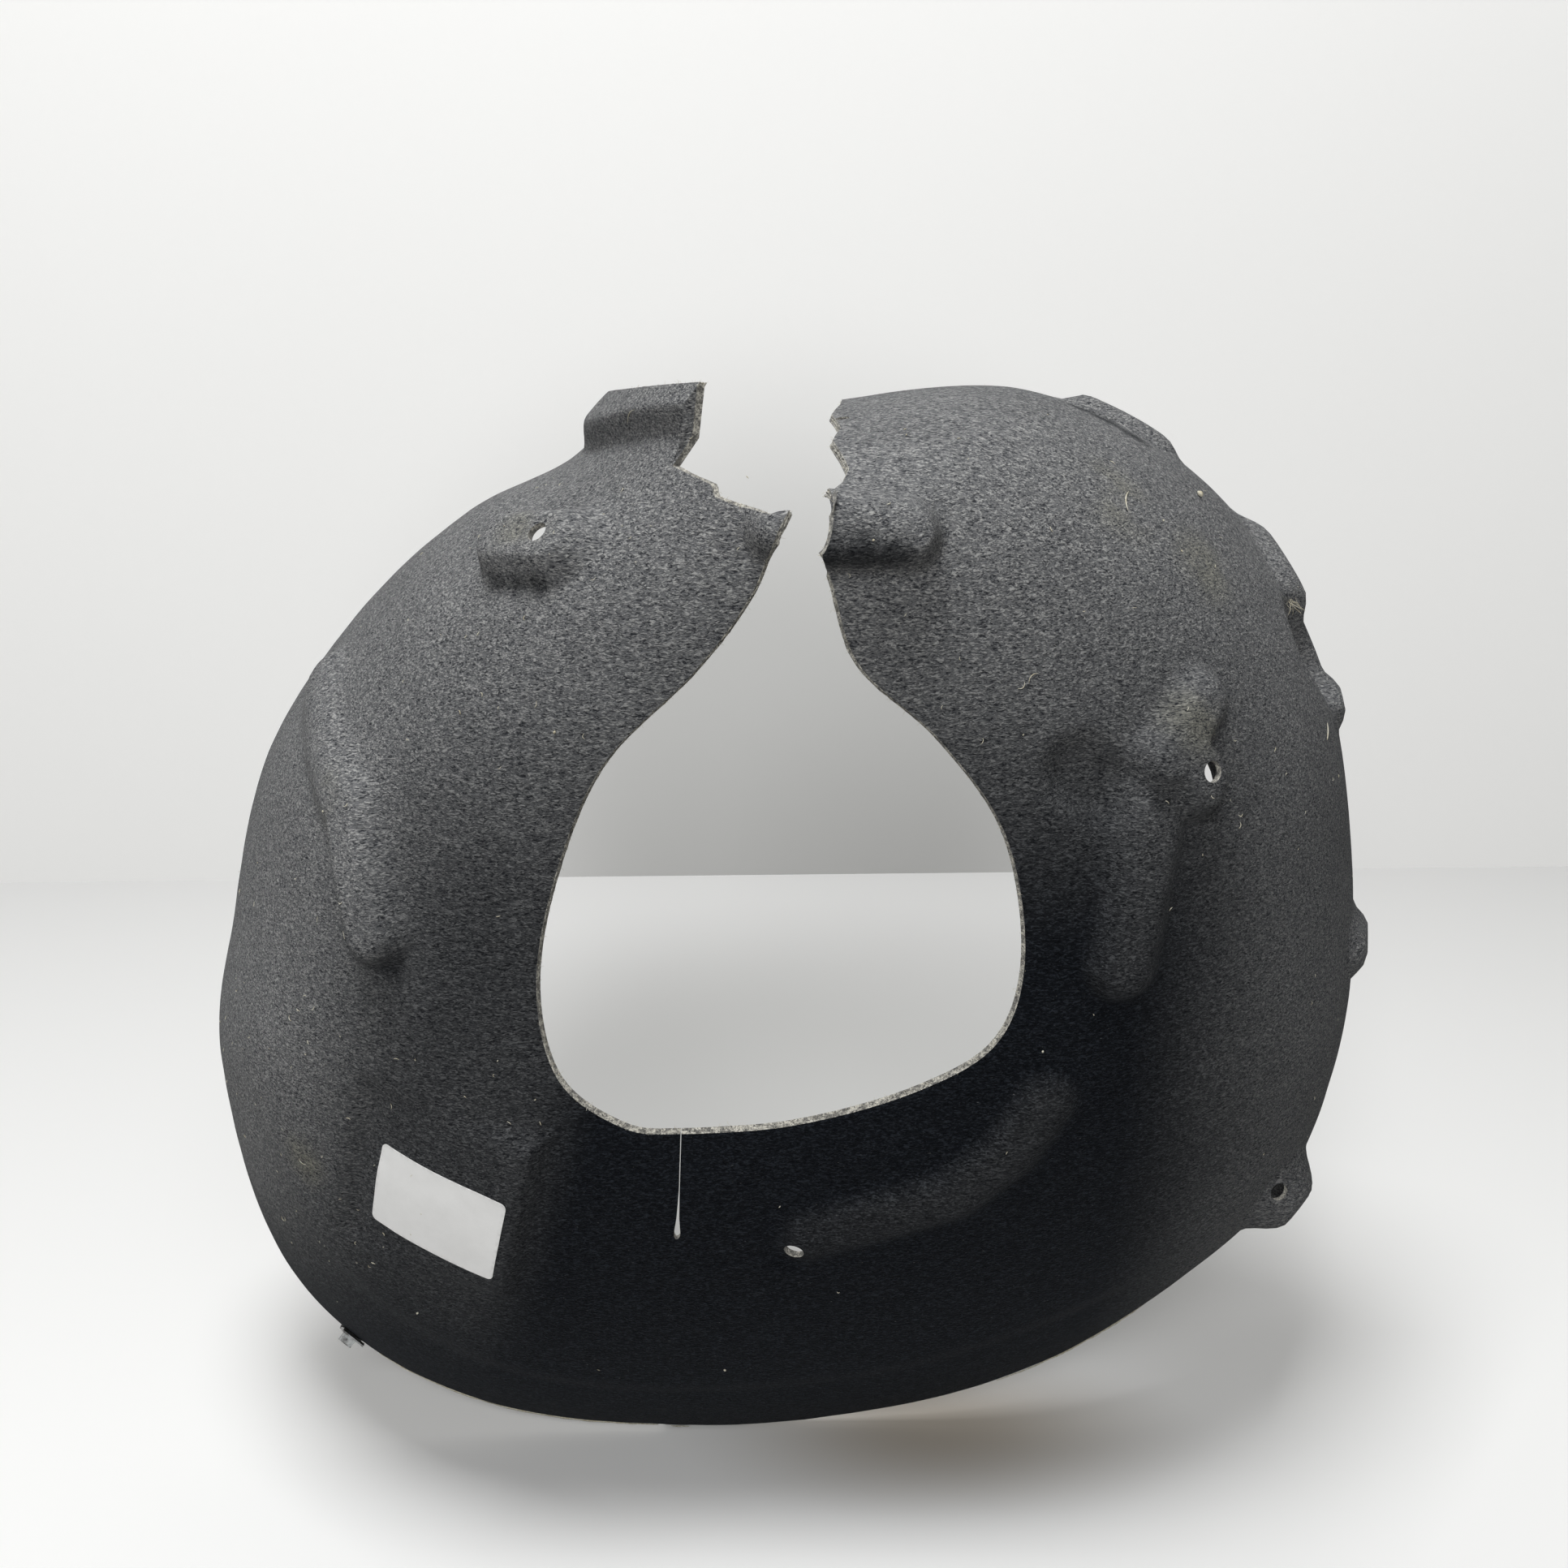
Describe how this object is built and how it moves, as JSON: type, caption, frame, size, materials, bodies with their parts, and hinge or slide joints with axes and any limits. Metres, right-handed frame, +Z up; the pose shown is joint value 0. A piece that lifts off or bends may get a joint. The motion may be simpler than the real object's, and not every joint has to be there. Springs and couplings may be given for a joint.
{
  "type": "wheel arch liner",
  "caption": "Moulded felt wheel arch liner, a C-shaped shell with ribs, bosses, fixing holes, a crown slit, a blank label and a rim clip nut.",
  "frame": {"origin": "on the axis of the crown hole, in the middle of the felt's thickness", "axes": "+Z up as the liner stands on its crown with its two arms up; -Y towards the car body, +Y towards the wheel; +X to the right seen from the body side"},
  "size_m": [0.6678, 0.238, 0.5924],
  "materials": {
    "felt": "rough pressed fibre felt",
    "label_paper": "matt white coated label stock",
    "clip_steel": "dull zinc-coated spring steel"
  },
  "bodies": {
    "root": {"liner": "felt", "label": "label_paper", "clip_nut": "clip_steel"}
  },
  "joints": []
}
